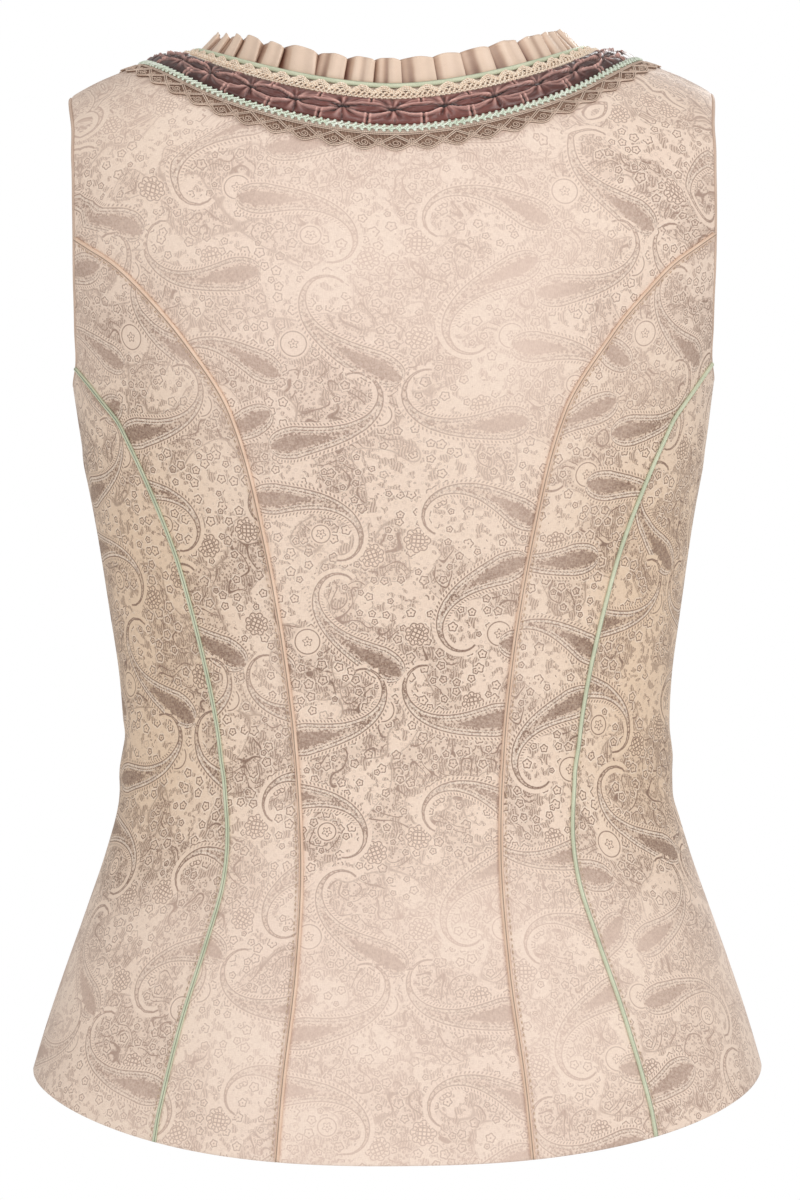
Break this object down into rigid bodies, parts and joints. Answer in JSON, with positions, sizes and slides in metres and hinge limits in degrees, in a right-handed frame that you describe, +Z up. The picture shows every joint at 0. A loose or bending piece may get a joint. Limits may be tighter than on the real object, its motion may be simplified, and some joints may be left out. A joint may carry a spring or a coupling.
{
  "type": "traditional bodice",
  "caption": "Fitted sleeveless brocade bodice in worn shape, open at neck, armholes and hem, with piped back seams, frilled and trimmed neckline, and a hooked front.",
  "frame": {"origin": "midway between the two shoulder straps, at the height of their undersides, where the wearer's shoulders carry the bodice", "axes": "+Z is up, the front faces -Y, and +X is the wearer's left"},
  "size_m": [0.3412, 0.2334, 0.523],
  "materials": {
    "brocade": "cream and pale rose jacquard with a tone in tone paisley figure, satin against matt",
    "beige_piping": "beige satin piping",
    "mint_piping": "mint green satin piping",
    "edging": "rolled beige edging",
    "gimp": "cream and old gold looped gimp",
    "satin_ribbon": "dark brown ruched satin ribbon",
    "mint_braid": "pale mint looped braid",
    "lace": "taupe corded lace with small scallops",
    "frill": "pleated champagne satin",
    "fastener": "plain bent wire and plate"
  },
  "bodies": {
    "root": {"back_centre": "brocade", "back_side_left": "brocade", "back_side_right": "brocade", "side_left": "brocade", "side_right": "brocade", "front_centre_left": "brocade", "front_centre_right": "brocade", "back_seam_piping_left": "beige_piping", "back_seam_piping_right": "beige_piping", "side_seam_piping_left": "mint_piping", "side_seam_piping_right": "mint_piping", "armhole_edging_left": "edging", "armhole_edging_right": "edging", "neck_piping": "mint_piping", "neck_gimp": "gimp", "ruched_ribbon": "satin_ribbon", "mint_braid": "mint_braid", "lace_edging": "lace", "neck_frill": "frill", "hook_1": "fastener", "eye_1": "fastener", "hook_2": "fastener", "eye_2": "fastener", "hook_3": "fastener", "eye_3": "fastener", "hook_4": "fastener", "eye_4": "fastener", "hook_5": "fastener", "eye_5": "fastener", "hook_6": "fastener", "eye_6": "fastener", "hook_7": "fastener", "eye_7": "fastener", "hook_8": "fastener", "eye_8": "fastener", "hook_9": "fastener", "eye_9": "fastener"}
  },
  "joints": []
}
